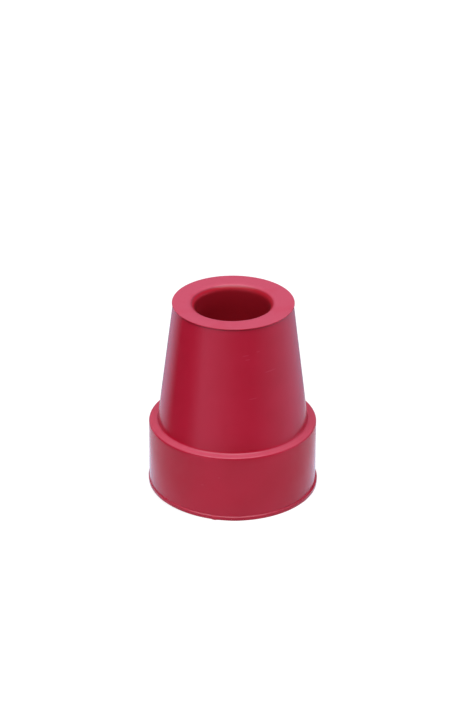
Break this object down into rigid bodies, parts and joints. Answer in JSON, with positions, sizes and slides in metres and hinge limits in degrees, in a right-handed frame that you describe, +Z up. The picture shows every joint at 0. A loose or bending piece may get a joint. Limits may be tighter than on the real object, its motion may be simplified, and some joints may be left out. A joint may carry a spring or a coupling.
{
  "type": "rubber cane tip",
  "caption": "Moulded rubber tip for a walking cane: a tapered sleeve with a blind socket, on a wide round foot with a ring tread.",
  "frame": {"origin": "middle of the sole, on the ground that the tip stands on", "axes": "+Z up the socket's axis, out of its mouth; X and Y level, the part being round about Z"},
  "size_m": [0.0442, 0.0442, 0.0516],
  "materials": {
    "moulded_rubber": "satin"
  },
  "bodies": {
    "root": {"cane_tip": "moulded_rubber"}
  },
  "joints": []
}
